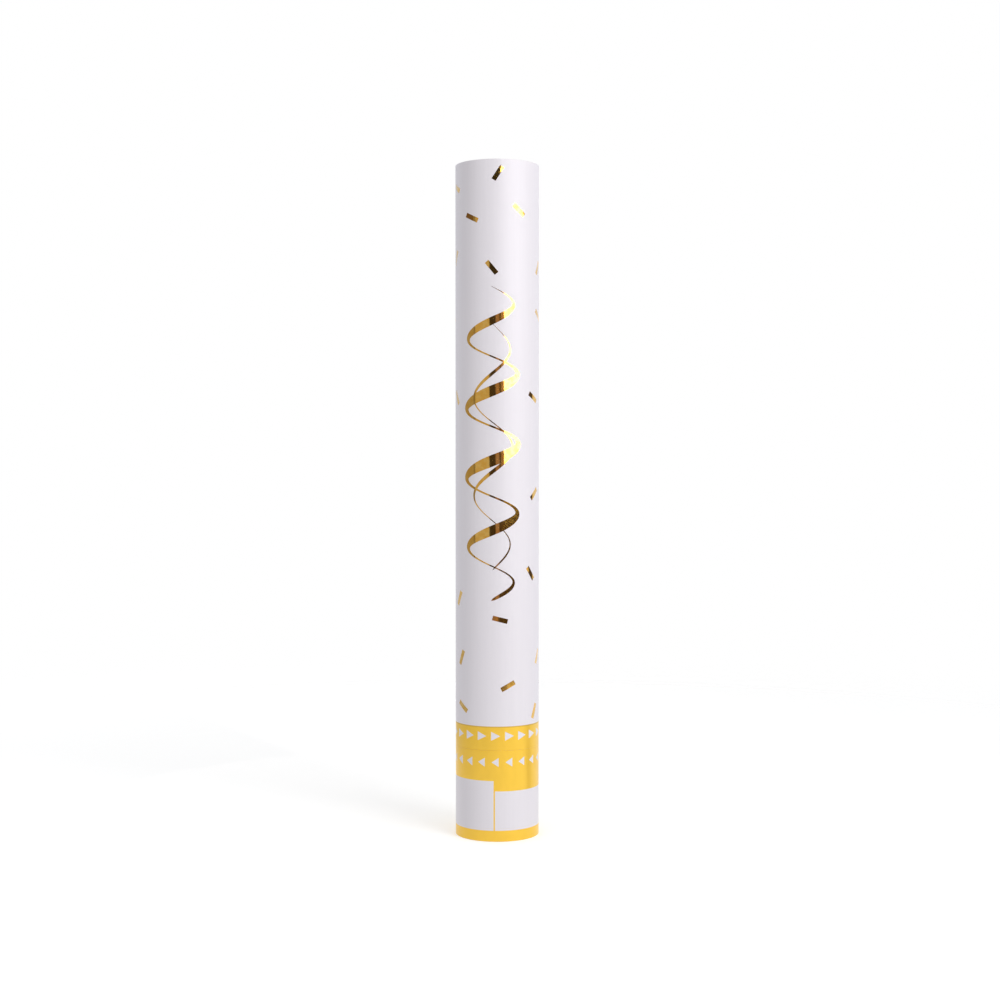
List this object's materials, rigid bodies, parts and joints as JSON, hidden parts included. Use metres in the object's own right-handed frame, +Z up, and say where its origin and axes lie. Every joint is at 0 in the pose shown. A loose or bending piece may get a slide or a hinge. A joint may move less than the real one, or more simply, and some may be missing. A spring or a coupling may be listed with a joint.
{
  "type": "confetti popper",
  "caption": "Hand-held twist-fired confetti popper: a slim paper-wrapped tube on a short twist grip that holds a gas bottle.",
  "frame": {"origin": "centre of the foot, on the surface that the popper stands on", "axes": "+Z up the tube towards the mouth, -Y towards the side that the picture shows"},
  "size_m": [0.05, 0.05, 0.4],
  "materials": {
    "tube_card": "matte",
    "barrel_print": "satin",
    "grip_print": "satin",
    "white_moulding": "satin",
    "black_moulding": "satin",
    "red_moulding": "satin",
    "bottle_metal": "satin",
    "ferrule_metal": "polished",
    "black_rubber": "matte",
    "wad_card": "matte",
    "wad_pad": "matte",
    "gold_slips": "polished",
    "white_foam": "matte"
  },
  "bodies": {
    "barrel": {"barrel_tube": "tube_card", "barrel_wrap": "barrel_print", "barrel_bush": "white_moulding", "guide_cage": "white_moulding"},
    "grip": {"grip_tube": "tube_card", "grip_wrap": "grip_print", "grip_hub": "white_moulding", "gas_bottle": "bottle_metal", "fill_plug": "black_rubber", "valve_collar": "black_moulding", "crimp_ferrule": "ferrule_metal"},
    "release_plug": {"release_plug": "red_moulding", "plug_o_ring": "black_rubber"},
    "wad": {"wad_board": "wad_card", "wad_felt": "wad_pad"},
    "confetti_lower": {"confetti_lower_right": "gold_slips", "confetti_lower_back": "gold_slips", "confetti_lower_left": "gold_slips", "confetti_lower_front": "gold_slips"},
    "confetti_middle": {"confetti_middle_right": "gold_slips", "confetti_middle_back": "gold_slips", "confetti_middle_left": "gold_slips", "confetti_middle_front": "gold_slips"},
    "confetti_upper": {"confetti_upper_right": "gold_slips", "confetti_upper_back": "gold_slips", "confetti_upper_left": "gold_slips", "confetti_upper_front": "gold_slips"},
    "mouth_plug": {"mouth_plug": "white_foam"}
  },
  "joints": [
    {"name": "grip_twist", "type": "hinge", "parent": "barrel", "child": "grip", "pos_m": [0, 0, 0.0538], "axis": [0, 0, -1], "range_deg": [0, 60]},
    {"name": "plug_release", "type": "slide", "parent": "barrel", "child": "release_plug", "axis": [0, 0, 1], "range_m": [0, 0.0031]},
    {"name": "wad_launch", "type": "slide", "parent": "barrel", "child": "wad", "axis": [0, 0, 1], "range_m": [0, 0.28]},
    {"name": "confetti_lower_launch", "type": "slide", "parent": "barrel", "child": "confetti_lower", "axis": [0, 0, 1], "range_m": [0, 0.2978]},
    {"name": "confetti_middle_launch", "type": "slide", "parent": "barrel", "child": "confetti_middle", "axis": [0, 0, 1], "range_m": [0, 0.3174]},
    {"name": "confetti_upper_launch", "type": "slide", "parent": "barrel", "child": "confetti_upper", "axis": [0, 0, 1], "range_m": [0, 0.3398]},
    {"name": "mouth_plug_launch", "type": "slide", "parent": "barrel", "child": "mouth_plug", "axis": [0, 0, 1], "range_m": [0, 0.365]}
  ],
  "couplings": [
    {"joint": "plug_release", "follows": "grip_twist", "m_per_rad": 0.0028648},
    {"joint": "confetti_lower_launch", "follows": "wad_launch", "ratio": 1.06},
    {"joint": "confetti_middle_launch", "follows": "wad_launch", "ratio": 1.13},
    {"joint": "confetti_upper_launch", "follows": "wad_launch", "ratio": 1.21},
    {"joint": "mouth_plug_launch", "follows": "wad_launch", "ratio": 1.3}
  ]
}
